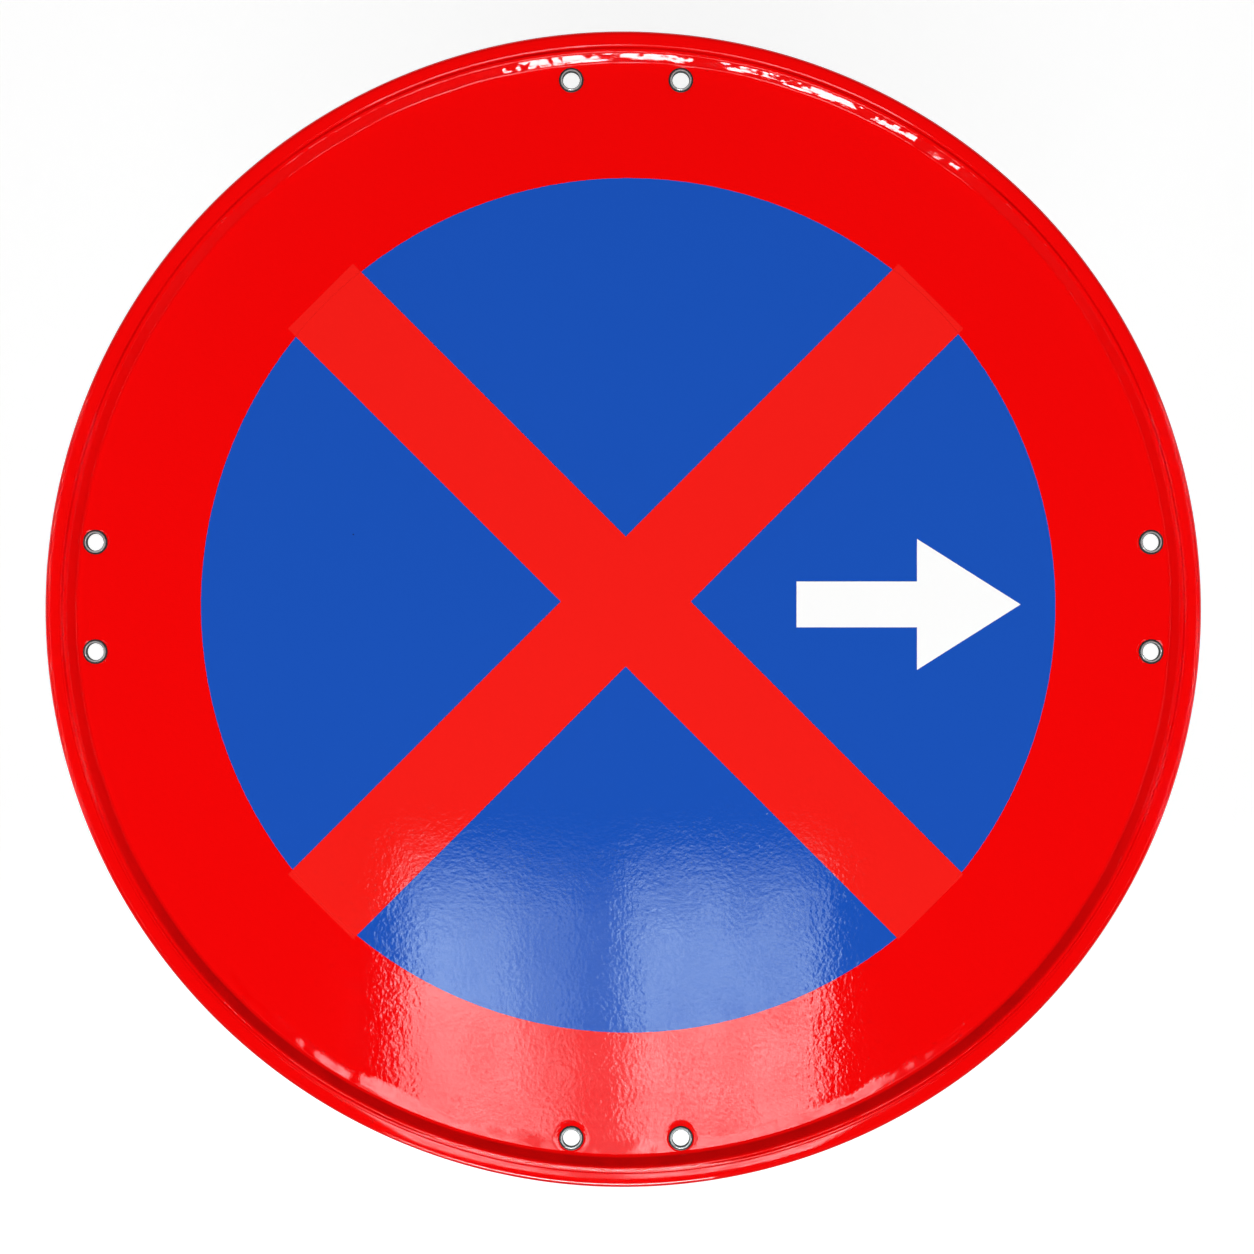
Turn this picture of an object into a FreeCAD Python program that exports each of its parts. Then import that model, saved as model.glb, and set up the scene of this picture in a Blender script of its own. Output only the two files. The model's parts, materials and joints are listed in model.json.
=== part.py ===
"""Round pressed steel parking sign, 600 mm across.

The sign stands upright. +X is to the right as a driver sees it, +Z is up and the face looks along -Y.
The origin is the sign's centre on the back of its face panel, where a post clamp bears.
All lengths are millimetres and all angles are degrees.
"""
import FreeCAD, Part
import math
import os

from FreeCAD import Vector

# Pressed plate: a flat face panel inside a raised crest, which rolls over into a flange at the back
sign_diameter = 600.0
sheet_thickness = 1.8
rim_depth = 25.0
crest_height = 4.0
crest_width = 6.6
roll_radius = 3.3
slope_angle = 45.0

# Blue disc, laid slightly off centre by hand
film_thickness = 0.25
ring_width = 78.0
disc_offset_x = 2.6
disc_offset_z = 2.0

# Red saltire over the disc, with square ends that lap onto the red ring
saltire_bar_width = 47.7
saltire_lap = 2.3
saltire_offset_x = 1.3
saltire_offset_z = 4.0
saltire_step_run = 0.6

# White arrow, pointing right
arrow_gap = 55.0
arrow_tip_inset = 18.2
arrow_head_length = 53.8
arrow_head_height = 68.0
arrow_shaft_height = 23.8
arrow_rise = 2.5

# Four pairs of eyelets for the clamp bolts
hole_inset = 23.5
pair_spacing = 56.9
upright_pair_shift = 1.5
level_pair_rise = 6.4
bolt_bore_diameter = 8.8
eyelet_wall = 0.9
barrel_clearance = 0.05
eyelet_flange_diameter = 12.8
eyelet_flange_rise = 0.9
eyelet_tail_diameter = 12.4
eyelet_tail_rise = 1.1

# Modelling limits
longest_arc = 45.0
cut_margin = 1.0
touching = 1e-6

# Depths of the flat layers, measured along Y from the origin
back_y = 0.0
face_y = back_y - sheet_thickness
disc_y = face_y - film_thickness
legend_y = disc_y - film_thickness
crest_y = face_y - crest_height
flange_y = crest_y + rim_depth

# Radii of the rim's outline, worked inwards from the flange
rim_radius = sign_diameter / 2
crest_outer_radius = rim_radius - roll_radius
crest_inner_radius = crest_outer_radius - crest_width
slope = math.radians(slope_angle)
slope_bend_radius = sheet_thickness
slope_length = (crest_height - slope_bend_radius * (1 - math.cos(slope))) / math.sin(slope)
face_radius = crest_inner_radius - slope_bend_radius * math.sin(slope) - slope_length * math.cos(slope)

# Places of the pieces that lie on the face
disc_radius = rim_radius - ring_width
hole_circle_radius = rim_radius - hole_inset
barrel_diameter = bolt_bore_diameter + 2 * eyelet_wall
hole_diameter = barrel_diameter + 2 * barrel_clearance


def at(radius, depth):
    """A point of a profile that is turned about the Y axis."""
    return Vector(radius, depth, 0)


def bend(centre, radius, start_angle, end_angle):
    """An arc of the profile, in equal steps up to the longest arc. Angles run from +radius to +Y."""
    steps = math.ceil(abs(end_angle - start_angle) / longest_arc)
    step = (end_angle - start_angle) / steps
    arcs = []
    for index in range(steps):
        points = []
        for part in (0, 0.5, 1):
            angle = math.radians(start_angle + (index + part) * step)
            points.append(centre + Vector(radius * math.cos(angle), radius * math.sin(angle), 0))
        arcs.append(Part.Arc(*points).toShape())
    return arcs


def first_point(edge):
    return edge.valueAt(edge.FirstParameter)


def last_point(edge):
    return edge.valueAt(edge.LastParameter)


def joined(pieces):
    """A closed wire through arcs and points in turn, with straight runs between them."""
    edges = []
    ends = []
    for piece in pieces:
        if isinstance(piece, Vector):
            ends.append((piece, piece, None))
        else:
            ends.append((first_point(piece), last_point(piece), piece))
    for index, (start, end, edge) in enumerate(ends):
        if edge:
            edges.append(edge)
        following = ends[(index + 1) % len(ends)][0]
        if end.distanceToPoint(following) > touching:
            edges.append(Part.LineSegment(end, following).toShape())
    return Part.Wire(edges)


def turned(pieces, centre_x=0.0, centre_z=0.0):
    """The solid that a profile sweeps about an axis along Y."""
    solid = Part.Face(joined(pieces)).revolve(Vector(0, 0, 0), Vector(0, 1, 0), 360)
    solid.translate(Vector(centre_x, 0, centre_z))
    return solid


def prism(corners, front_y, rear_y):
    """A flat shape, given by its corners in X and Z, between two depths."""
    points = [Vector(x, rear_y, z) for x, z in corners]
    face = Part.Face(Part.makePolygon(points + points[:1]))
    return face.extrude(Vector(0, front_y - rear_y, 0))


def rod(radius, front_y, rear_y, centre_x, centre_z):
    return Part.makeCylinder(radius, rear_y - front_y, Vector(centre_x, front_y, centre_z), Vector(0, 1, 0))


def pressed_blank():
    """The sheet before its holes: face, slope, crest, roll and flange in one even thickness.

    Both bends of the slope are pressed sharp inside, so their outsides are arcs about those corners.
    """
    foot_corner = at(face_radius, face_y)
    crest_corner = at(crest_inner_radius, crest_y + slope_bend_radius)
    roll_centre = at(crest_outer_radius, crest_y + roll_radius)
    pieces = [at(0, back_y), at(0, face_y), foot_corner]
    pieces += bend(crest_corner, slope_bend_radius, -90 - slope_angle, -90)
    pieces += bend(roll_centre, roll_radius, -90, 0)
    pieces += [at(rim_radius, flange_y), at(rim_radius - sheet_thickness, flange_y)]
    pieces += bend(roll_centre, roll_radius - sheet_thickness, 0, -90)
    pieces += [crest_corner]
    pieces += bend(foot_corner, slope_bend_radius, 90 - slope_angle, 90)
    return turned(pieces)


def hole_centres():
    """The centres of the four pairs of holes. The outer hole of every pair lies on the hole circle."""
    half = pair_spacing / 2
    upright_reach = math.sqrt(hole_circle_radius ** 2 - (half + upright_pair_shift) ** 2)
    level_reach = math.sqrt(hole_circle_radius ** 2 - (half + level_pair_rise) ** 2)
    centres = []
    for side in (1, -1):
        for along in (-half, half):
            centres.append((upright_pair_shift + along, side * upright_reach))
            centres.append((side * level_reach, level_pair_rise + along))
    return centres


def make_sign_plate():
    plate = pressed_blank()
    for centre_x, centre_z in hole_centres():
        hole = rod(hole_diameter / 2, face_y - cut_margin, back_y + cut_margin, centre_x, centre_z)
        plate = plate.cut(hole)
    return plate


def make_blue_disc_film():
    return rod(disc_radius, disc_y, face_y, disc_offset_x, disc_offset_z)


def saltire_bar(tilt):
    """One bar of the saltire, deep enough for the layer that it is cut from."""
    half_length = disc_radius + saltire_lap
    half_width = saltire_bar_width / 2
    corners = [
        (-half_length, -half_width),
        (half_length, -half_width),
        (half_length, half_width),
        (-half_length, half_width),
    ]
    bar = prism(corners, legend_y - cut_margin, face_y + cut_margin)
    bar.rotate(Vector(0, 0, 0), Vector(0, 1, 0), tilt)
    bar.translate(Vector(saltire_offset_x, 0, saltire_offset_z))
    return bar


def make_red_saltire_film():
    """The two bars, cut from a layer that lies on the disc and steps down round its edge."""
    reach = disc_radius + saltire_lap + saltire_bar_width
    layer = turned([
        at(0, disc_y),
        at(disc_radius, disc_y),
        at(disc_radius, face_y),
        at(reach, face_y),
        at(reach, disc_y),
        at(disc_radius + saltire_step_run, disc_y),
        at(disc_radius, legend_y),
        at(0, legend_y),
    ], disc_offset_x, disc_offset_z)
    bars = saltire_bar(45).fuse(saltire_bar(-45)).removeSplitter()
    return layer.common(bars)


def make_white_arrow_film():
    """The arrow starts a gap away from the saltire's right notch and ends inside the disc's edge."""
    tail_x = saltire_offset_x + saltire_bar_width / math.sqrt(2) + arrow_gap
    tip_x = disc_offset_x + disc_radius - arrow_tip_inset
    neck_x = tip_x - arrow_head_length
    shaft = arrow_shaft_height / 2
    head = arrow_head_height / 2
    corners = [
        (tail_x, arrow_rise - shaft),
        (neck_x, arrow_rise - shaft),
        (neck_x, arrow_rise - head),
        (tip_x, arrow_rise),
        (neck_x, arrow_rise + head),
        (neck_x, arrow_rise + shaft),
        (tail_x, arrow_rise + shaft),
    ]
    return prism(corners, legend_y, disc_y)


def make_eyelet(centre_x, centre_z):
    """A steel eyelet that grips the sheet between its domed flange and its rolled tail."""
    bore = bolt_bore_diameter / 2
    barrel = barrel_diameter / 2
    return turned([
        at(bore, face_y - eyelet_flange_rise),
        at(bore, back_y + eyelet_tail_rise),
        at(eyelet_tail_diameter / 2, back_y),
        at(barrel, back_y),
        at(barrel, face_y),
        at(eyelet_flange_diameter / 2, face_y),
    ], centre_x, centre_z)


def make_eyelets():
    """The eight eyelets, as separate solids in one group."""
    return Part.Compound([make_eyelet(x, z) for x, z in hole_centres()])


pieces = {
    "sign_plate": make_sign_plate(),
    "blue_disc_film": make_blue_disc_film(),
    "red_saltire_film": make_red_saltire_film(),
    "white_arrow_film": make_white_arrow_film(),
    "eyelets": make_eyelets(),
}

os.makedirs("parts", exist_ok=True)
for name, shape in pieces.items():
    shape.exportStep(os.path.join("parts", name + ".step"))
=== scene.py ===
"""Dresses a round parking sign: a pressed and painted plate, flat films, eyelets and a plain studio."""
import json
import math

import bmesh
import bpy
from mathutils import Matrix, Vector


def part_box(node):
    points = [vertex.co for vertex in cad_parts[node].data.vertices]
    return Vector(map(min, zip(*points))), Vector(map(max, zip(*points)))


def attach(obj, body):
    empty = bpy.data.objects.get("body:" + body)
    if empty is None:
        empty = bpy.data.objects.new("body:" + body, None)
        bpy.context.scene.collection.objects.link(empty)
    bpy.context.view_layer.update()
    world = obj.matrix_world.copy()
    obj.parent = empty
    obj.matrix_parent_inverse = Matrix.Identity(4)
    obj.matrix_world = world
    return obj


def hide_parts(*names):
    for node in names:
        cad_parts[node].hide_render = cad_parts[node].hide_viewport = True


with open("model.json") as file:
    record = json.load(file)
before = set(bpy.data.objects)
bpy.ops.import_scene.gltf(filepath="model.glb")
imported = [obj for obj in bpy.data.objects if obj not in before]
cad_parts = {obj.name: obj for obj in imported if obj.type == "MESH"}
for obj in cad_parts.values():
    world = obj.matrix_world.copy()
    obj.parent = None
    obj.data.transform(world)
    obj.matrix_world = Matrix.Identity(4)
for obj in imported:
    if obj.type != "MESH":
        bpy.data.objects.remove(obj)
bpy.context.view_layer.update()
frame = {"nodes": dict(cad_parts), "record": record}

bl_info = {
    "name": "Parking Sign",
    "version": (1, 0, 0),
    "blender": (4, 5, 0),
    "location": "3D View > Sidebar > Parking Sign",
    "description": "Builds the plate, the eyelets, the finishes and the studio of a round parking sign",
    "category": "Object",
}

MM = 0.001
TOUCHING = 0.001 * MM

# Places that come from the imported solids
PLATE_LOW, PLATE_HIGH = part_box("sign_plate")
RIM_RADIUS = PLATE_HIGH.x
CREST_Y = PLATE_LOW.y
FLANGE_Y = PLATE_HIGH.y
FACE_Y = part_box("blue_disc_film")[1].y
BACK_Y = 0.0
TAIL_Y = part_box("eyelets")[1].y
PAIRS = [mount for mount in frame["record"]["mounts"] if mount["kind"] == "bolt_pattern"]
BORE_RADIUS = PAIRS[0]["dims"]["hole_r_mm"] * MM

# Where the slope starts and ends, for the finishes
FOOT_RADIUS = RIM_RADIUS - 15 * MM
SLOPE_END_RADIUS = RIM_RADIUS - 10 * MM

# Steps round a full turn
RIM_STEPS = 480
SEAT_STEPS = 64
EYELET_STEPS = 72

# Sockets of a Mix node that blends colours
FIRST_COLOUR = 6
SECOND_COLOUR = 7
BLENDED_COLOUR = 2

# The photograph's frame, in its own pixels
PHOTO_WIDTH = 1254
SIGN_RADIUS_PX = 577.7
SIGN_CENTRE_PX = (623.2, 609.2)


def hole_centres():
    """The X and Z of each hole, from the pairs of bolts that the record gives."""
    centres = []
    for pair in PAIRS:
        x, _, z = pair["pos_m"]
        half_x = pair["dims"].get("spacing_x_mm", 0) * MM / 2
        half_z = pair["dims"].get("spacing_y_mm", 0) * MM / 2
        centres.append((x - half_x, z - half_z))
        centres.append((x + half_x, z + half_z))
    return centres


def length(name, default, description):
    """A length property, with its default in millimetres."""
    return bpy.props.FloatProperty(
        name=name, description=description, default=default * MM, precision=5, unit="LENGTH"
    )


def angle(name, default, description):
    """An angle property, with its default in degrees."""
    return bpy.props.FloatProperty(
        name=name, description=description, default=math.radians(default), unit="ROTATION"
    )


def watts(name, default, description):
    """A lamp's power, in watts."""
    return bpy.props.FloatProperty(name=name, description=description, default=default, unit="POWER")


def colour(name, default, description):
    """A colour property, in linear light."""
    return bpy.props.FloatVectorProperty(
        name=name, description=description, default=default, size=3, min=0, max=1, subtype="COLOR"
    )


class PlateSizes(bpy.types.PropertyGroup):
    """Sizes of the pressed plate that the solids' boxes don't give."""

    roll_radius: length("Roll", 3.3, "Radius of the roll between the crest and the flange")
    crest_width: length("Crest", 6.6, "Width of the crest between its bends")
    slope_angle: angle("Slope", 45, "Slope from the face up to the crest")
    foot_bend: length("Foot bend", 2.6, "Radius of the bend between the face and the slope")
    crest_bend: length("Crest bend", 3.2, "Radius of the bend between the slope and the crest")
    bead_inset: length("Bead", 8.2, "Distance from the rim to the crest's fine bead")
    bead_height: length("Bead height", 0.35, "Height of the crest's fine bead")
    bead_angle: angle("Bead slope", 30, "Slope of the crest's fine bead")
    bead_bend: length("Bead bend", 0.5, "Radius of the bead's bends")
    hole_diameter: length("Hole", 10.7, "Diameter of the holes in the sheet")
    seat_diameter: length("Seat", 14.8, "Diameter of the dished seat round a hole")
    seat_bend: length("Seat bend", 2.0, "Radius of the bend at the edge of a seat")
    seat_angle: angle("Seat slope", 9, "Slope of a dished seat")
    margin: length("Margin", 0.1, "Width of flat sheet kept round a bend or a seat")
    edge_bevel: length("Cut edge", 0.2, "Width of the bevel on cut edges")


class EyeletSizes(bpy.types.PropertyGroup):
    """Sizes of one eyelet."""

    flange_diameter: length("Flange", 12.8, "Diameter of the flange in front")
    flange_edge: length("Flange edge", 0.16, "Height of the flange's outer edge above the face")
    flange_chamfer: length("Flange chamfer", 0.2, "Width of the chamfer round the flange")
    flange_fall: length("Flange fall", 0.08, "Fall of the flange's ring towards the chamfer")
    flange_rise: length("Flange rise", 0.9, "Height of the lip above the face")
    ring_rise: length("Ring rise", 0.46, "Height of the flange's ring above the face")
    groove_depth: length("Groove depth", 0.25, "Depth of the groove round the lip")
    groove_width: length("Groove width", 0.32, "Width of the groove round the lip")
    lip_radius: length("Lip radius", 0.48, "Radius of the rolled lip at the mouth")
    tail_diameter: length("Tail", 12.2, "Diameter of the rolled tail")
    tail_round: length("Tail round", 0.28, "Radius of the tail's edge")


class FinishColours(bpy.types.PropertyGroup):
    """Colours of the finishes."""

    paint: colour("Paint", (0.87, 0.0003, 0.0005), "Red paint of the plate")
    blue: colour("Blue film", (0.0089, 0.0800, 0.468), "Blue film of the disc")
    red: colour("Red film", (0.90, 0.0108, 0.0074), "Red film of the saltire")
    white: colour("White film", (0.965, 0.965, 0.96), "White film of the arrow")
    steel: colour("Plated steel", (0.74, 0.765, 0.77), "Plated steel of the eyelets")
    zinc: colour("Zinc", (0.56, 0.575, 0.58), "Zinc coat on the back of the plate")
    floor: colour("Floor", (0.62, 0.62, 0.617), "Floor and backdrop")


class StudioSettings(bpy.types.PropertyGroup):
    """The camera's place and the strength of the light."""

    camera_distance: length("Camera distance", 1150, "From the sign's rim to the camera")
    floor_drop: length("Floor drop", 1300, "From the sign's centre down to the floor")
    side_power: watts("Side lamps", 17.0, "Power of each lamp at the side")
    back_power: watts("Back lamp", 65.0, "Power of the lamp behind and above the sign")
    low_power: watts("Low lamp", 78.0, "Power of the lamp below the camera")
    card_glow: bpy.props.FloatProperty(
        name="Card glow", description="Brightness of the cards that the gloss mirrors", default=5.3
    )
    ambient: bpy.props.FloatProperty(
        name="Ambient", description="Brightness of the room on the object", default=0.04
    )


class Outline:
    """The open outline of a turned piece, drawn in edit mode one run or bend after another."""

    def __init__(self, name, radius, depth):
        bpy.ops.object.select_all(action="DESELECT")
        bpy.ops.mesh.primitive_plane_add(size=MM, location=(0, 0, 0))
        self.piece = bpy.context.active_object
        self.piece.name = name
        self.piece.data.name = name
        self.tip = Vector((radius, depth, 0))
        bpy.ops.object.mode_set(mode="EDIT")
        bpy.ops.mesh.select_mode(type="VERT")
        bpy.ops.mesh.select_all(action="SELECT")
        bpy.ops.mesh.merge(type="CENTER")
        bpy.ops.transform.translate(value=self.tip)

    def run(self, radius, depth):
        """A straight run to a radius and a depth."""
        goal = Vector((radius, depth, 0))
        bpy.ops.mesh.extrude_region_move(TRANSFORM_OT_translate={"value": goal - self.tip})
        self.tip = goal

    def bend(self, radius, depth, turn, steps):
        """An arc about a centre. A positive turn goes from outwards to backwards."""
        centre = Vector((radius, depth, 0))
        bpy.ops.mesh.spin(steps=steps, angle=-turn, center=centre, axis=(0, 0, 1))
        self.tip = centre + Matrix.Rotation(turn, 3, "Z") @ (self.tip - centre)

    def rise(self, slope, height, first_bend, second_bend, steps):
        """A smooth step outwards and towards the front: a bend, a slope and a bend back."""
        self.bend(self.tip.x, self.tip.y - first_bend, -slope, steps)
        straight = (height - (first_bend + second_bend) * (1 - math.cos(slope))) / math.sin(slope)
        self.run(self.tip.x + straight * math.cos(slope), self.tip.y - straight * math.sin(slope))
        centre_x = self.tip.x + second_bend * math.sin(slope)
        centre_y = self.tip.y + second_bend * math.cos(slope)
        self.bend(centre_x, centre_y, slope, steps)

    def turned(self, steps):
        """Spins the outline into a surface about the Y axis and returns the piece in object mode."""
        bpy.ops.mesh.select_all(action="SELECT")
        bpy.ops.mesh.spin(steps=steps, angle=2 * math.pi, center=(0, 0, 0), axis=(0, 1, 0))
        bpy.ops.mesh.select_all(action="SELECT")
        bpy.ops.mesh.remove_doubles(threshold=TOUCHING)
        bpy.ops.mesh.normals_make_consistent(inside=False)
        bpy.ops.object.mode_set(mode="OBJECT")
        return self.piece


def copied(piece, x, z):
    """A copy of a piece with its own mesh, moved in its mesh."""
    copy = piece.copy()
    copy.data = piece.data.copy()
    copy.data.transform(Matrix.Translation((x, 0, z)))
    bpy.context.scene.collection.objects.link(copy)
    return copy


def joined(first, others):
    """Joins pieces into the first one."""
    bpy.ops.object.select_all(action="DESELECT")
    for piece in [first] + others:
        piece.select_set(True)
    bpy.context.view_layer.objects.active = first
    bpy.ops.object.join()
    return first


def applied(piece, kind, **settings):
    """Puts a modifier on a piece and applies it."""
    modifier = piece.modifiers.new(kind, kind)
    for name, value in settings.items():
        setattr(modifier, name, value)
    bpy.context.view_layer.objects.active = piece
    bpy.ops.object.modifier_apply(modifier=modifier.name)


def smoothed(piece, degrees):
    """Shades a piece smooth, with edges sharper than an angle left crisp."""
    bpy.ops.object.select_all(action="DESELECT")
    piece.select_set(True)
    bpy.context.view_layer.objects.active = piece
    bpy.ops.object.shade_smooth_by_angle(angle=math.radians(degrees))


def settled(piece, node):
    """Gives a finished piece its place in the frame."""
    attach(piece, "root")
    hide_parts(node)


def rim_sheet(sizes):
    """The front of the sheet from just inside the slope out over the crest and back to the flange's edge."""
    slope = sizes.slope_angle
    thickness = BACK_Y - FACE_Y
    crest_height = FACE_Y - CREST_Y
    crest_corner = RIM_RADIUS - sizes.roll_radius - sizes.crest_width - thickness * math.tan(slope / 2)
    foot_corner = crest_corner - crest_height / math.tan(slope)
    foot = foot_corner - sizes.foot_bend * math.tan(slope / 2)
    sheet = Outline("pressed_plate", foot - sizes.margin, FACE_Y)
    sheet.run(foot, FACE_Y)
    sheet.rise(slope, crest_height - sizes.bead_height, sizes.foot_bend, sizes.crest_bend, steps=6)
    sheet.run(RIM_RADIUS - sizes.bead_inset, sheet.tip.y)
    sheet.rise(sizes.bead_angle, sizes.bead_height, sizes.bead_bend, sizes.bead_bend, steps=3)
    sheet.run(RIM_RADIUS - sizes.roll_radius, CREST_Y)
    sheet.bend(RIM_RADIUS - sizes.roll_radius, CREST_Y + sizes.roll_radius, math.pi / 2, steps=12)
    sheet.run(RIM_RADIUS, FLANGE_Y)
    return sheet.turned(RIM_STEPS)


def dished_seat(sizes):
    """The shallow dish that the sheet is pressed into round one hole."""
    edge = sizes.seat_diameter / 2
    seat = Outline("dished_seat", edge + sizes.margin, FACE_Y)
    seat.run(edge, FACE_Y)
    seat.bend(edge, FACE_Y + sizes.seat_bend, -sizes.seat_angle, steps=4)
    fall = (seat.tip.x - sizes.hole_diameter / 2) * math.tan(sizes.seat_angle)
    seat.run(sizes.hole_diameter / 2, seat.tip.y + fall)
    return seat.turned(SEAT_STEPS)


def fill_face(piece):
    """Fills the flat face between the rim and the seats."""
    bpy.ops.object.mode_set(mode="EDIT")
    bpy.ops.mesh.select_mode(type="EDGE")
    bpy.ops.mesh.select_all(action="DESELECT")
    mesh = bmesh.from_edit_mesh(piece.data)
    for edge in mesh.edges:
        flat = all(abs(vertex.co.y - FACE_Y) < TOUCHING for vertex in edge.verts)
        edge.select_set(edge.is_boundary and flat)
    bmesh.update_edit_mesh(piece.data)
    bpy.ops.mesh.fill(use_beauty=False)
    bpy.ops.mesh.select_all(action="SELECT")
    bpy.ops.mesh.normals_make_consistent(inside=False)
    mesh = bmesh.from_edit_mesh(piece.data)
    mesh.faces.ensure_lookup_table()
    widest = max(mesh.faces, key=lambda face: face.calc_area())
    if widest.normal.y > 0:
        bpy.ops.mesh.flip_normals()
    bpy.ops.object.mode_set(mode="OBJECT")


def eyelet(sizes, plate):
    """One flanged eyelet, turned from its section."""
    flange = sizes.flange_diameter / 2
    front = FACE_Y - sizes.flange_rise
    barrel = plate.hole_diameter / 2
    slack = (plate.seat_diameter / 2 - barrel) * math.tan(plate.seat_angle)
    lip = BORE_RADIUS + sizes.lip_radius
    groove = lip + sizes.lip_radius
    ring = groove + sizes.groove_width
    ring_y = FACE_Y - sizes.ring_rise
    groove_floor = groove + 0.3 * sizes.groove_width
    tail = sizes.tail_diameter / 2 - sizes.tail_round
    curl = sizes.lip_radius
    section = Outline("flanged_eyelets", barrel, FACE_Y + slack)
    section.run(flange, FACE_Y)
    section.run(flange, FACE_Y - sizes.flange_edge)
    section.run(flange - sizes.flange_chamfer, ring_y + sizes.flange_fall)
    section.run(ring, ring_y)
    section.run(groove_floor, ring_y + sizes.groove_depth)
    section.run(groove, ring_y + sizes.groove_depth)
    section.run(groove, front + sizes.lip_radius)
    section.bend(lip, front + sizes.lip_radius, -math.pi, steps=12)
    section.run(BORE_RADIUS, TAIL_Y - curl)
    section.bend(BORE_RADIUS + curl, TAIL_Y - curl, -math.pi / 2, steps=5)
    section.run(tail, TAIL_Y)
    section.bend(tail, TAIL_Y - sizes.tail_round, -math.pi, steps=6)
    section.run(barrel, TAIL_Y - 2 * sizes.tail_round)
    section.run(barrel, FACE_Y + slack)
    piece = section.turned(EYELET_STEPS)
    radii = piece.data.attributes.new("section_radius", "FLOAT", "POINT")
    for index, vertex in enumerate(piece.data.vertices):
        radii.data[index].value = math.hypot(vertex.co.x, vertex.co.z)
    return piece


class Signal:
    """One output of a node, which can be added, multiplied and compared like a number."""

    def __init__(self, finish, socket):
        self.finish = finish
        self.socket = socket

    def maths(self, operation, *values):
        """The signal that a maths node makes from values or other signals."""
        inputs = dict(enumerate(values))
        return self.finish.node("ShaderNodeMath", {"operation": operation}, inputs).out()

    def __add__(self, other):
        return self.maths("ADD", self, other)

    def __radd__(self, other):
        return self.maths("ADD", other, self)

    def __sub__(self, other):
        return self.maths("SUBTRACT", self, other)

    def __rsub__(self, other):
        return self.maths("SUBTRACT", other, self)

    def __mul__(self, other):
        return self.maths("MULTIPLY", self, other)

    def __rmul__(self, other):
        return self.maths("MULTIPLY", other, self)

    def __pow__(self, other):
        return self.maths("POWER", self, other)

    def larger(self, other):
        """The larger of two signals."""
        return self.maths("MAXIMUM", self, other)

    def above(self, edge):
        """1 where the signal is above an edge, and 0 elsewhere."""
        return self.maths("GREATER_THAN", self, edge)

    def ramp(self, low, high):
        """0 below low, 1 above high and a smooth rise between them."""
        inputs = {"Value": self, "From Min": low, "From Max": high}
        settings = {"interpolation_type": "SMOOTHSTEP"}
        return self.finish.node("ShaderNodeMapRange", settings, inputs).out("Result")


class Node:
    """A node whose outputs are read as signals."""

    def __init__(self, finish, node):
        self.finish = finish
        self.node = node

    def out(self, name=0):
        """An output by its name, or the first one."""
        return Signal(self.finish, self.node.outputs[name])


def rgba(value):
    """A colour with its alpha, or a signal as it is."""
    return value if isinstance(value, Signal) else (*value, 1.0)


def changed(base, factor, lift=0.0):
    """A colour with its channels scaled and lifted, kept below full white."""
    return tuple(min(1.0, channel * factor + lift) for channel in base)


def from_axis(x, z):
    """The distance from the sign's axis."""
    return (x * x + z * z) ** 0.5


class Finish:
    """The node tree of one material or of the world."""

    def __init__(self, tree):
        self.tree = tree
        self.tree.nodes.clear()

    def node(self, kind, settings=None, inputs=None):
        """Adds a node of a type, with its settings first and then its sockets' values or links."""
        node = self.tree.nodes.new(kind)
        for name, value in (settings or {}).items():
            setattr(node, name, value)
        for name, value in (inputs or {}).items():
            if isinstance(value, Signal):
                self.tree.links.new(value.socket, node.inputs[name])
            else:
                node.inputs[name].default_value = value
        return Node(self, node)

    def place(self):
        """The position on the object, in metres."""
        return self.node("ShaderNodeTexCoord").out("Object")

    def parts(self, vector):
        """The X, Y and Z of a vector."""
        split = self.node("ShaderNodeSeparateXYZ", inputs={"Vector": vector})
        return split.out("X"), split.out("Y"), split.out("Z")

    def flat(self, x, z):
        """A position with its depth taken out."""
        return self.node("ShaderNodeCombineXYZ", inputs={"X": x, "Z": z}).out()

    def distance(self, first, second):
        """The distance between two positions."""
        inputs = {0: first, 1: second}
        return self.node("ShaderNodeVectorMath", {"operation": "DISTANCE"}, inputs).out("Value")

    def noise(self, place, scale, detail=2.0, roughness=0.5):
        """A noise from 0 to 1, with a number of waves to the metre."""
        inputs = {"Vector": place, "Scale": scale, "Detail": detail, "Roughness": roughness}
        return self.node("ShaderNodeTexNoise", inputs=inputs).out()

    def blend(self, factor, first, second):
        """A colour between two colours."""
        inputs = {"Factor": factor, FIRST_COLOUR: rgba(first), SECOND_COLOUR: rgba(second)}
        return self.node("ShaderNodeMix", {"data_type": "RGBA"}, inputs).out(BLENDED_COLOUR)

    def scaled(self, base, factor):
        """A colour made brighter or darker by a factor."""
        return self.node("ShaderNodeVectorMath", {"operation": "SCALE"}, {0: base, "Scale": factor}).out()

    def bump(self, height):
        """A normal from a height in metres."""
        inputs = {"Strength": 1.0, "Distance": 1.0, "Height": height}
        return self.node("ShaderNodeBump", inputs=inputs).out("Normal")

    def surface(self, shader, kind="ShaderNodeOutputMaterial"):
        """Ends the tree with a shader."""
        self.node(kind, inputs={"Surface": shader.out()})


def new_finish(name):
    """A new material and its node tree."""
    material = bpy.data.materials.new(name)
    material.use_nodes = True
    return material, Finish(material.node_tree)


def orange_peel(finish, place):
    """The height of the fine skin that sprayed paint and rolled film have."""
    fine_height = 0.046 * MM
    broad_height = 0.045 * MM
    fine = finish.noise(place, 460, 1.0, 0.55)
    broad = finish.noise(place, 120, 1.0)
    return fine * fine_height + broad * broad_height


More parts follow.
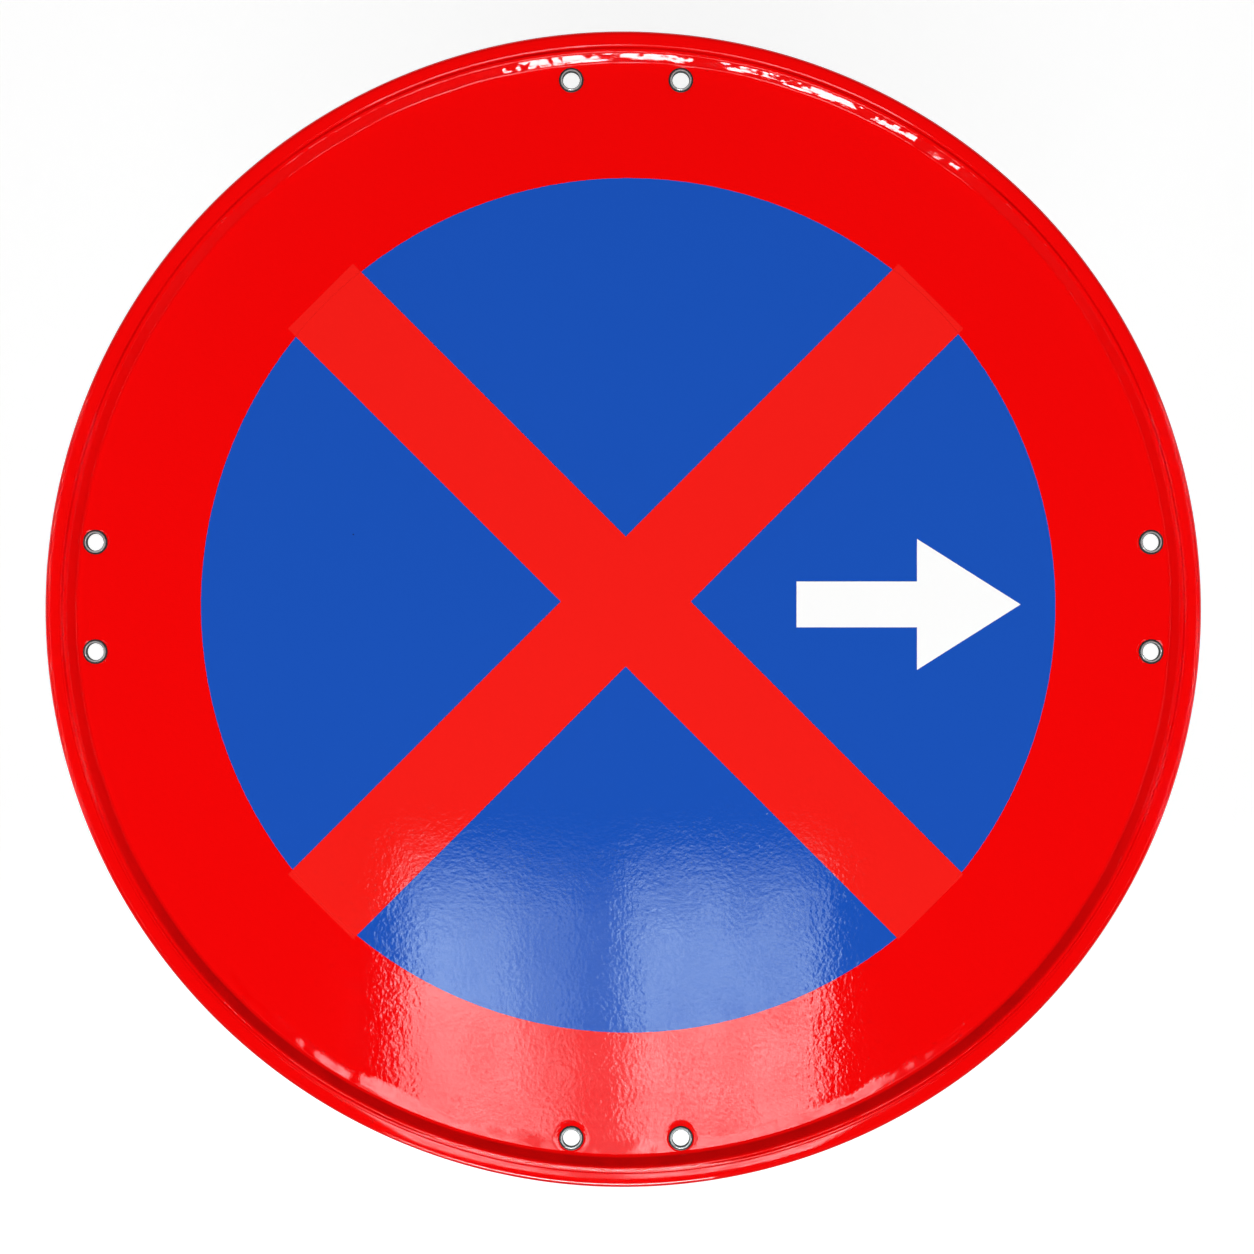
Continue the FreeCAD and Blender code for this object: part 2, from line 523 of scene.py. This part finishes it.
def pressing(finish, place):
    """The height of what the press left: a soft rise to the slope, a wrinkled slope and dented holes."""
    soft_rise = 0.5 * MM
    wander_height = 1.6 * MM
    wrinkle_height = 0.5 * MM
    dent_depth = 0.13 * MM
    x, _, z = finish.parts(place)
    radius = from_axis(x, z)
    wander = finish.noise(place, 26)
    wrinkle = finish.noise(place, 85)
    ragged = radius + (wander - 0.5) * 12 * MM
    on_slope = radius.ramp(FOOT_RADIUS - 2 * MM, FOOT_RADIUS + 1 * MM)
    on_slope = on_slope * (1 - radius.ramp(SLOPE_END_RADIUS, SLOPE_END_RADIUS + 1.5 * MM))
    height = ragged.ramp(FOOT_RADIUS - 9 * MM, FOOT_RADIUS) * soft_rise
    height = height + (wander * wander_height + wrinkle * wrinkle_height) * on_slope
    for hole_x, hole_z in hole_centres():
        reach = finish.distance(finish.flat(x, z), (hole_x, 0, hole_z)) + (wrinkle - 0.5) * 3 * MM
        height = height + reach.ramp(6.2 * MM, 9.8 * MM) * dent_depth
    return height


def red_paint(colours):
    """Glossy red paint over the pressed sheet, with painted shade darkening the slope on the lower part of
    the sign.
    """
    material, finish = new_finish("red_paint")
    place = finish.place()
    x, _, z = finish.parts(place)
    radius = from_axis(x, z)
    tone = finish.blend(finish.noise(place, 6), colours.paint, changed(colours.paint, 1.03, 0.0004))
    # Painted shade: the slope's crease on the lower part of the sign is darkened, with a noisy strength, as
    # if it were in shade.
    shaded_paint = changed(colours.paint, 0.45)
    crease = radius.ramp(FOOT_RADIUS - 0.8 * MM, FOOT_RADIUS + 0.4 * MM)
    crease = crease * (1 - radius.ramp(SLOPE_END_RADIUS - 1.5 * MM, SLOPE_END_RADIUS))
    low = 1 - z.ramp(-240 * MM, -40 * MM)
    painted_shade = crease * low * (0.4 + 0.5 * finish.noise(place, 70, 3.0))
    drawn = 1 - 0.8 * radius.ramp(FOOT_RADIUS - 12 * MM, FOOT_RADIUS - 2 * MM)
    shader = finish.node("ShaderNodeBsdfPrincipled", inputs={
        "Base Color": finish.blend(painted_shade, tone, shaded_paint),
        "Roughness": 0.025 + 0.045 * finish.noise(place, 14),
        "Normal": finish.bump(orange_peel(finish, place) * drawn + pressing(finish, place)),
    })
    finish.surface(shader)
    return material


def zinc_back(colours):
    """The plate's unpainted back: dull zinc with faint spangle and a haze of red along the flange."""
    material, finish = new_finish("zinc_back")
    place = finish.place()
    x, y, z = finish.parts(place)
    radius = from_axis(x, z)
    spangle = finish.node("ShaderNodeTexVoronoi", inputs={"Vector": place, "Scale": 110.0}).out("Color")
    grain, _, _ = finish.parts(spangle)
    cloud = finish.noise(place, 9, 3.0)
    haze = y.ramp(8 * MM, FLANGE_Y) * radius.ramp(RIM_RADIUS - 6 * MM, RIM_RADIUS - 1.9 * MM)
    haze = haze * (0.35 + 0.6 * finish.noise(place, 60, 3.0))
    metal = finish.blend(0.35 * grain + 0.45 * cloud, changed(colours.zinc, 0.8), colours.zinc)
    shader = finish.node("ShaderNodeBsdfPrincipled", inputs={
        "Base Color": finish.blend(haze, metal, colours.paint),
        "Metallic": 0.85 - 0.85 * haze,
        "Roughness": 0.42 + 0.12 * grain + 0.08 * cloud,
        "Normal": finish.bump(finish.noise(place, 420) * 0.004 * MM),
    })
    finish.surface(shader)
    return material


def film(name, base, grit):
    """A glossy film with a fine skin and, here and there, a speck of dust under it."""
    material, finish = new_finish(name)
    place = finish.place()
    cells = finish.node("ShaderNodeTexVoronoi", inputs={"Vector": place, "Scale": 30.0})
    chance, size, _ = finish.parts(cells.out("Color"))
    speck = (0.006 + 0.008 * size - cells.out("Distance")).above(0) * chance.above(0.72) * grit
    tone = finish.blend(finish.noise(place, 5), base, changed(base, 1.03, 0.001))
    shader = finish.node("ShaderNodeBsdfPrincipled", inputs={
        "Base Color": finish.blend(speck, tone, (0.01, 0.01, 0.012)),
        "Roughness": 0.035 + 0.04 * finish.noise(place, 16),
        "Normal": finish.bump(orange_peel(finish, place) + speck * 0.02 * MM),
    })
    finish.surface(shader)
    return material


def plated_steel(colours):
    """Dull plated steel, with painted shade as a near-black ring round the flange's edge and a dark bore."""
    material, finish = new_finish("plated_steel")
    place = finish.place()
    radius = finish.node("ShaderNodeAttribute", {"attribute_name": "section_radius"}).out("Fac")
    cloud = finish.noise(place, 700, 3.0)
    fine = finish.noise(place, 2600)
    # Painted shade: the flange's outer ring and chamfer turn near black, standing in for the shadow in the
    # gap round the eyelet.
    painted_shade = radius.ramp(5.45 * MM, 5.6 * MM) * 0.98
    bore = 1 - radius.ramp(BORE_RADIUS + 0.24 * MM, BORE_RADIUS + 0.4 * MM)
    metal = finish.blend(cloud, changed(colours.steel, 0.7), colours.steel)
    plated = finish.node("ShaderNodeBsdfPrincipled", inputs={
        "Base Color": finish.blend(painted_shade, metal, (0.01, 0.01, 0.01)),
        "Metallic": 0.45 - 0.45 * painted_shade,
        "Roughness": 0.13 + 0.12 * cloud + 0.3 * painted_shade,
        "Normal": finish.bump(fine * 0.0015 * MM),
    })
    # Painted shade: the bore's wall is mixed towards a dark matt shader, standing in for the shade inside
    # the hole.
    painted_bore_shade = finish.node("ShaderNodeBsdfPrincipled", inputs={
        "Base Color": (0.03, 0.03, 0.03, 1.0), "Roughness": 0.8, "Specular IOR Level": 0.1,
    })
    both = finish.node("ShaderNodeMixShader", inputs={0: bore * 0.93, 1: plated.out(), 2: painted_bore_shade.out()})
    finish.surface(both)
    return material


def ray_is(finish, *kinds):
    """1 for rays of any of some kinds, and 0 for the rest."""
    rays = finish.node("ShaderNodeLightPath")
    total = rays.out(kinds[0])
    for kind in kinds[1:]:
        total = total.larger(rays.out(kind))
    return total


def pale_floor(colours):
    """A matt pale floor. It looks white to the camera, and behind the sign also in the gloss."""
    material, finish = new_finish("pale_floor")
    place = finish.place()
    tone = finish.noise(place, 3, 3.0)
    paler = changed(colours.floor, 1.02)
    _, y, _ = finish.parts(place)
    mirrored = ray_is(finish, "Is Glossy Ray", "Is Transmission Ray")
    dimmed = 1 - mirrored * (1 - y.ramp(0.4, 1.2)) * 0.8
    matt = finish.node("ShaderNodeBsdfDiffuse", inputs={
        "Color": finish.scaled(finish.blend(tone, colours.floor, paler), dimmed), "Roughness": 0.8,
    })
    seen = ray_is(finish, "Is Camera Ray")
    seen = seen.larger(mirrored * y.ramp(0.6, 1.6))
    whitening = 0.8
    glow = finish.node("ShaderNodeEmission", inputs={
        "Color": finish.scaled((1, 1, 1), seen * whitening), "Strength": 1.0,
    })
    both = finish.node("ShaderNodeAddShader", inputs={0: matt.out(), 1: glow.out()})
    finish.surface(both)
    return material


def glowing_card(name, level, tint, strength, near=0.0, far=0.0):
    """A card that only the gloss sees. Its level is a function of its nodes and of the place on it.

    What lies between near and far from it doesn't see it. That keeps its streak off the face in other views.
    """
    material, finish = new_finish(name)
    x, y, z = finish.parts(finish.place())
    reach = finish.node("ShaderNodeLightPath").out("Ray Length")
    hidden = reach.above(near) * (1 - reach.above(far))
    glow = finish.node("ShaderNodeEmission", inputs={
        "Color": finish.scaled(tint, level(finish, x, y, z) * (1 - hidden)), "Strength": strength,
    })
    finish.surface(glow)
    return material


def studio_world(ambient):
    """A dim room. The camera sees it white, and so does the gloss where it looks behind the sign."""
    world = bpy.context.scene.world or bpy.data.worlds.new("studio")
    bpy.context.scene.world = world
    world.use_nodes = True
    finish = Finish(world.node_tree)
    direction = finish.node("ShaderNodeTexCoord").out("Generated")
    _, y, _ = finish.parts(direction)
    seen = ray_is(finish, "Is Camera Ray")
    mirrored = ray_is(finish, "Is Glossy Ray", "Is Transmission Ray") * y.ramp(0.0, 0.3)
    room = finish.node("ShaderNodeBackground", inputs={"Strength": ambient})
    white = finish.node("ShaderNodeBackground", inputs={"Strength": 1.0, "Color": (1, 1, 1, 1)})
    both = finish.node("ShaderNodeMixShader", inputs={
        0: seen.larger(mirrored), 1: room.out(), 2: white.out(),
    })
    finish.surface(both, "ShaderNodeOutputWorld")


def card(name, corner, across, along, material):
    """A flat card from a corner along two edges, seen by nothing but the gloss."""
    bpy.ops.object.select_all(action="DESELECT")
    bpy.ops.mesh.primitive_plane_add(size=1, location=(0, 0, 0))
    piece = bpy.context.active_object
    piece.name = name
    for vertex in piece.data.vertices:
        part = vertex.co
        vertex.co = Vector(corner) + (part.x + 0.5) * Vector(across) + (part.y + 0.5) * Vector(along)
    piece.data.materials.append(material)
    piece.visible_camera = False
    piece.visible_diffuse = False
    piece.visible_shadow = False


def lamp(name, place, aim, width, height, power):
    """A soft rectangular lamp at a place, turned to face a point."""
    data = bpy.data.lights.new(name, "AREA")
    data.shape = "RECTANGLE"
    data.size = width
    data.size_y = height
    data.energy = power
    lamp_object = bpy.data.objects.new(name, data)
    bpy.context.scene.collection.objects.link(lamp_object)
    lamp_object.location = place
    lamp_object.rotation_euler = (Vector(aim) - Vector(place)).to_track_quat("-Z", "Y").to_euler()
    lamp_object.visible_glossy = False
    lamp_object.visible_camera = False


class SIGN_OT_plate(bpy.types.Operator):
    """Builds the pressed plate with its rim, holes and seats"""

    bl_idname = "sign.plate"
    bl_label = "Build plate"

    def execute(self, context):
        sizes = context.scene.sign_plate
        colours = context.scene.sign_colours
        plate = rim_sheet(sizes)
        seat = dished_seat(sizes)
        seats = [copied(seat, x, z) for x, z in hole_centres()]
        bpy.data.objects.remove(seat)
        joined(plate, seats)
        fill_face(plate)
        plate.data.materials.append(red_paint(colours))
        plate.data.materials.append(zinc_back(colours))
        thickness = BACK_Y - FACE_Y
        applied(plate, "SOLIDIFY", thickness=thickness, offset=-1, material_offset=1)
        applied(plate, "BEVEL", width=sizes.edge_bevel, segments=2, limit_method="ANGLE",
                angle_limit=math.radians(60))
        smoothed(plate, 35)
        settled(plate, "sign_plate")
        return {"FINISHED"}


class SIGN_OT_eyelets(bpy.types.Operator):
    """Builds one eyelet and copies it to every hole"""

    bl_idname = "sign.eyelets"
    bl_label = "Build eyelets"

    def execute(self, context):
        first = eyelet(context.scene.sign_eyelets, context.scene.sign_plate)
        smoothed(first, 40)
        copies = [copied(first, x, z) for x, z in hole_centres()]
        bpy.data.objects.remove(first)
        eyelets = joined(copies[0], copies[1:])
        eyelets.name = "flanged_eyelets"
        eyelets.data.materials.append(plated_steel(context.scene.sign_colours))
        settled(eyelets, "eyelets")
        return {"FINISHED"}


class SIGN_OT_films(bpy.types.Operator):
    """Gives the blue disc, the red saltire and the white arrow their films"""

    bl_idname = "sign.films"
    bl_label = "Finish films"

    def execute(self, context):
        colours = context.scene.sign_colours
        films = {
            "blue_disc_film": film("blue_film", colours.blue, 1.0),
            "red_saltire_film": film("red_film", colours.red, 0.6),
            "white_arrow_film": film("white_film", colours.white, 0.3),
        }
        for name, material in films.items():
            for slot in frame["nodes"][name].material_slots:
                slot.material = material
        return {"FINISHED"}


class SIGN_OT_studio(bpy.types.Operator):
    """Sets up the floor, the backdrop, the lamps and the camera"""

    bl_idname = "sign.studio"
    bl_label = "Set up studio"

    def execute(self, context):
        studio = context.scene.sign_studio
        colours = context.scene.sign_colours
        self.set_floor(studio, colours)
        self.set_cards(studio)
        for side in (-1, 1):
            lamp("side_lamp", place=(side * 1.9, -1.6, 0.5), aim=(0, 0, 0), width=0.9, height=1.0,
                 power=studio.side_power)
        lamp("back_lamp", place=(0, 1.8, 1.5), aim=(0, 0, 0), width=1.6, height=0.8, power=studio.back_power)
        lamp("low_lamp", place=(-0.05, -3.3, -0.95), aim=(0, 0, 0.1), width=0.9, height=0.9,
             power=studio.low_power)
        studio_world(studio.ambient)
        self.set_camera(studio)
        context.scene.view_settings.view_transform = "Standard"
        return {"FINISHED"}

    def set_floor(self, studio, colours):
        """One sheet that lies flat under the sign and curves up behind it."""
        bpy.ops.object.select_all(action="DESELECT")
        width = 5.0
        behind = 0.9
        height = 4.0
        curve = 1.2
        bpy.ops.mesh.primitive_plane_add(size=width, location=(0, behind, -studio.floor_drop))
        floor = bpy.context.active_object
        floor.name = "studio_floor"
        bpy.ops.object.mode_set(mode="EDIT")
        bpy.ops.mesh.select_mode(type="EDGE")
        bpy.ops.mesh.select_all(action="DESELECT")
        mesh = bmesh.from_edit_mesh(floor.data)
        for edge in mesh.edges:
            edge.select_set(all(vertex.co.y > 0 for vertex in edge.verts))
        bmesh.update_edit_mesh(floor.data)
        bpy.ops.mesh.extrude_region_move(TRANSFORM_OT_translate={"value": (0, 0, height)})
        bpy.ops.mesh.select_all(action="DESELECT")
        mesh = bmesh.from_edit_mesh(floor.data)
        for edge in mesh.edges:
            edge.select_set(all(vertex.co.y > 0 and vertex.co.z < height / 2 for vertex in edge.verts))
        bmesh.update_edit_mesh(floor.data)
        bpy.ops.mesh.bevel(offset=curve, segments=24)
        bpy.ops.object.mode_set(mode="OBJECT")
        bpy.ops.object.transform_apply(location=True, rotation=True, scale=True)
        smoothed(floor, 60)
        floor.data.materials.append(pale_floor(colours))

    def set_cards(self, studio):
        """The bright cards that the gloss mirrors.

        The window gives the two pale patches low on the face, the low card the white glints on the
        upper slope, and the strips beside the sign the fine lines at its left and right.
        """

        def window(finish, x, y, z):
            left = x.ramp(-0.205, -0.19) * (1 - x.ramp(-0.13, -0.072))
            middle = x.ramp(-0.13, -0.08) * (1 - x.ramp(-0.052, -0.036)) * 0.6
            gap = x.ramp(-0.05, -0.04) * (1 - x.ramp(-0.008, 0.008)) * 0.18
            right = x.ramp(-0.008, 0.008) * (1 - x.ramp(0.165, 0.185))
            top = 1 - z.ramp(-0.29, -0.18)
            bars = finish.noise(finish.flat(x, z * 0.1), 26)
            grain = finish.noise(finish.flat(x, z), 62)
            mottle = 0.28 + 0.4 * bars.ramp(0.4, 0.6) + 1.0 * grain.ramp(0.38, 0.62)
            return (left + middle + gap + right) * top * mottle

        def even(finish, x, y, z):
            return 1.0

        def strip(finish, x, y, z):
            return (1 - z.ramp(0.1, 0.4)) * z.ramp(-0.6, -0.4)

        white = (1, 1, 1)
        bluish = (0.76, 0.97, 1.0)
        glow = studio.card_glow
        sky = glowing_card("window_glow", window, bluish, glow)
        low = glowing_card("low_glow", even, white, 4.5 * glow, near=0.42, far=0.84)
        soft = glowing_card("strip_glow", strip, white, 0.5 * glow)
        crisp = glowing_card("edge_glow", even, white, 14 * glow, near=0.5, far=3.0)
        card("window_card", corner=(-0.24, -0.8, -0.49), across=(0.44, 0, 0), along=(0, 0, 0.32),
             material=sky)
        card("low_card", corner=(-0.42, -0.31, -0.62), across=(0.52, 0, 0), along=(0, 0.15, 0),
             material=low)
        for side in (-1, 1):
            card("side_card", corner=(side * 0.67, -0.8, -0.6), across=(side * 0.03, 0, 0),
                 along=(0, 0, 1.0), material=soft)
            card("edge_card", corner=(side * 0.66, -0.282, -0.4), across=(0, 0.004, 0),
                 along=(0, 0, 0.75), material=crisp)

    def set_camera(self, studio):
        """A camera square to the face, framed as in the photograph."""
        scale = RIM_RADIUS / SIGN_RADIUS_PX
        middle = PHOTO_WIDTH / 2
        data = bpy.data.cameras.new("camera")
        data.sensor_width = 36.0
        data.lens = data.sensor_width * studio.camera_distance / (PHOTO_WIDTH * scale)
        camera = bpy.data.objects.new("camera", data)
        bpy.context.scene.collection.objects.link(camera)
        rim_y = CREST_Y + bpy.context.scene.sign_plate.roll_radius
        x = (middle - SIGN_CENTRE_PX[0]) * scale
        z = (SIGN_CENTRE_PX[1] - middle) * scale
        camera.location = (x, rim_y - studio.camera_distance, z)
        camera.rotation_euler = (math.pi / 2, 0, 0)
        bpy.context.scene.camera = camera


class SIGN_PT_panel(bpy.types.Panel):
    """Lists the steps that build the sign"""

    bl_idname = "SIGN_PT_panel"
    bl_label = "Parking Sign"
    bl_space_type = "VIEW_3D"
    bl_region_type = "UI"
    bl_category = "Parking Sign"

    def draw(self, context):
        for operator in OPERATORS:
            self.layout.operator(operator.bl_idname)
        for name in SETTINGS:
            group = getattr(context.scene, name)
            box = self.layout.box()
            for field in group.bl_rna.properties.keys():
                if field not in ("rna_type", "name"):
                    box.prop(group, field)


OPERATORS = (SIGN_OT_plate, SIGN_OT_eyelets, SIGN_OT_films, SIGN_OT_studio)
SETTINGS = {
    "sign_plate": PlateSizes,
    "sign_eyelets": EyeletSizes,
    "sign_colours": FinishColours,
    "sign_studio": StudioSettings,
}


def register():
    """Registers the settings, the steps and the panel."""
    for name, group in SETTINGS.items():
        bpy.utils.register_class(group)
        setattr(bpy.types.Scene, name, bpy.props.PointerProperty(type=group))
    for operator in OPERATORS:
        bpy.utils.register_class(operator)
    bpy.utils.register_class(SIGN_PT_panel)


def unregister():
    """Takes back what register() did."""
    bpy.utils.unregister_class(SIGN_PT_panel)
    for operator in OPERATORS:
        bpy.utils.unregister_class(operator)
    for name, group in SETTINGS.items():
        delattr(bpy.types.Scene, name)
        bpy.utils.unregister_class(group)


def main():
    """Builds the whole scene."""
    register()
    bpy.ops.sign.plate()
    bpy.ops.sign.eyelets()
    bpy.ops.sign.films()
    bpy.ops.sign.studio()


if __name__ == "__main__":
    main()
